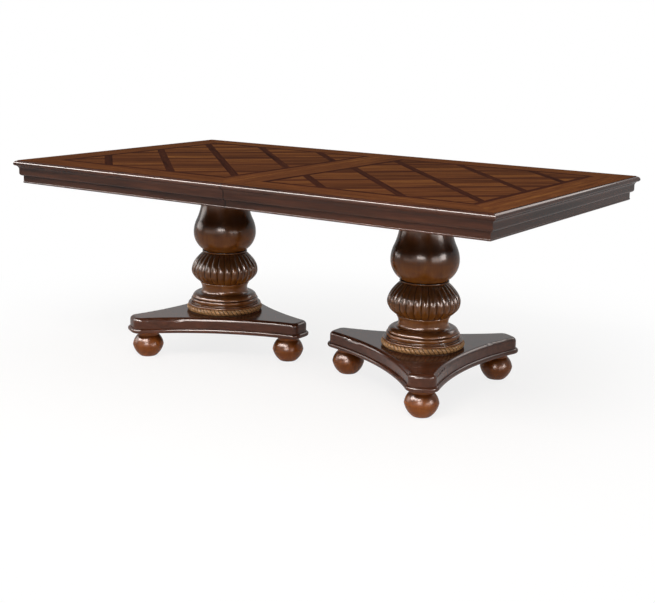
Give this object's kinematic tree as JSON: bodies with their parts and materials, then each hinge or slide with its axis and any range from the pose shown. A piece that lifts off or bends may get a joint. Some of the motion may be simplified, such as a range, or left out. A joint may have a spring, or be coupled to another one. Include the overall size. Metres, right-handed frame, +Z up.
{
  "type": "dining table",
  "caption": "Extension dining table: a parquet lattice top in halves that slide apart for a leaf, on turned pedestals with carved melon bulbs, pointed bases and bun feet.",
  "frame": {"origin": "on the floor under the middle of the closed top", "axes": "+X along the table towards the half that slides out, +Y to the back, +Z up"},
  "size_m": [2.032, 1.168, 0.762],
  "materials": {
    "dark_walnut": "stained dark walnut under gloss lacquer",
    "turned_walnut": "stained walnut under gloss lacquer",
    "walnut_veneer": "walnut veneer under satin lacquer",
    "dark_veneer": "dark walnut veneer under satin lacquer",
    "core_board": "unfinished board",
    "beech": "planed beech",
    "zinc_steel": "zinc plated",
    "nylon": "moulded"
  },
  "bodies": {
    "left_half": {"left_top_board": "core_board", "left_border_veneer": "walnut_veneer", "left_field_veneer": "walnut_veneer", "left_dark_inlay": "dark_veneer", "left_edge_moulding_front": "dark_walnut", "left_edge_moulding_back": "dark_walnut", "left_edge_moulding_end": "dark_walnut", "left_apron_front": "dark_walnut", "left_apron_back": "dark_walnut", "left_apron_end": "dark_walnut", "left_corner_blocks": "beech", "left_cleats": "beech", "left_slide_rails": "beech", "left_slide_screws": "zinc_steel", "left_top_plate": "beech", "left_vase": "turned_walnut", "left_melon_bulb": "turned_walnut", "left_socle": "turned_walnut", "left_rope_ring": "turned_walnut", "left_platform": "turned_walnut", "left_foot_front": "turned_walnut", "left_foot_back": "turned_walnut", "left_foot_inner": "turned_walnut", "left_glides": "nylon", "left_tie_rod": "zinc_steel", "left_foot_bolts": "zinc_steel", "left_plate_bolts": "zinc_steel", "alignment_pins": "beech", "lock_plates": "zinc_steel"},
    "right_half": {"right_top_board": "core_board", "right_border_veneer": "walnut_veneer", "right_field_veneer": "walnut_veneer", "right_dark_inlay": "dark_veneer", "right_edge_moulding_front": "dark_walnut", "right_edge_moulding_back": "dark_walnut", "right_edge_moulding_end": "dark_walnut", "right_apron_front": "dark_walnut", "right_apron_back": "dark_walnut", "right_apron_end": "dark_walnut", "right_corner_blocks": "beech", "right_cleats": "beech", "right_slide_rails": "beech", "right_slide_screws": "zinc_steel", "right_top_plate": "beech", "right_vase": "turned_walnut", "right_melon_bulb": "turned_walnut", "right_socle": "turned_walnut", "right_rope_ring": "turned_walnut", "right_platform": "turned_walnut", "right_foot_front": "turned_walnut", "right_foot_back": "turned_walnut", "right_foot_inner": "turned_walnut", "right_glides": "nylon", "right_tie_rod": "zinc_steel", "right_foot_bolts": "zinc_steel", "right_plate_bolts": "zinc_steel", "lock_keepers": "zinc_steel"},
    "slide_middle": {"slide_middles": "beech"},
    "lock_front": {"lock_lever_front": "zinc_steel"},
    "lock_back": {"lock_lever_back": "zinc_steel"}
  },
  "joints": [
    {"name": "top_slide", "type": "slide", "parent": "left_half", "child": "right_half", "axis": [1, 0, 0], "range_m": [0, 0.457]},
    {"name": "middle_slide", "type": "slide", "parent": "left_half", "child": "slide_middle", "axis": [1, 0, 0], "range_m": [0, 0.2285]},
    {"name": "lock_front_turn", "type": "hinge", "parent": "left_half", "child": "lock_front", "pos_m": [-0.023, -0.11, 0.7321], "axis": [0, 0, 1], "range_deg": [-65, 0]},
    {"name": "lock_back_turn", "type": "hinge", "parent": "left_half", "child": "lock_back", "pos_m": [-0.023, 0.11, 0.7321], "axis": [0, 0, 1], "range_deg": [-65, 0]}
  ],
  "couplings": [
    {"joint": "middle_slide", "follows": "top_slide", "ratio": 0.5}
  ]
}
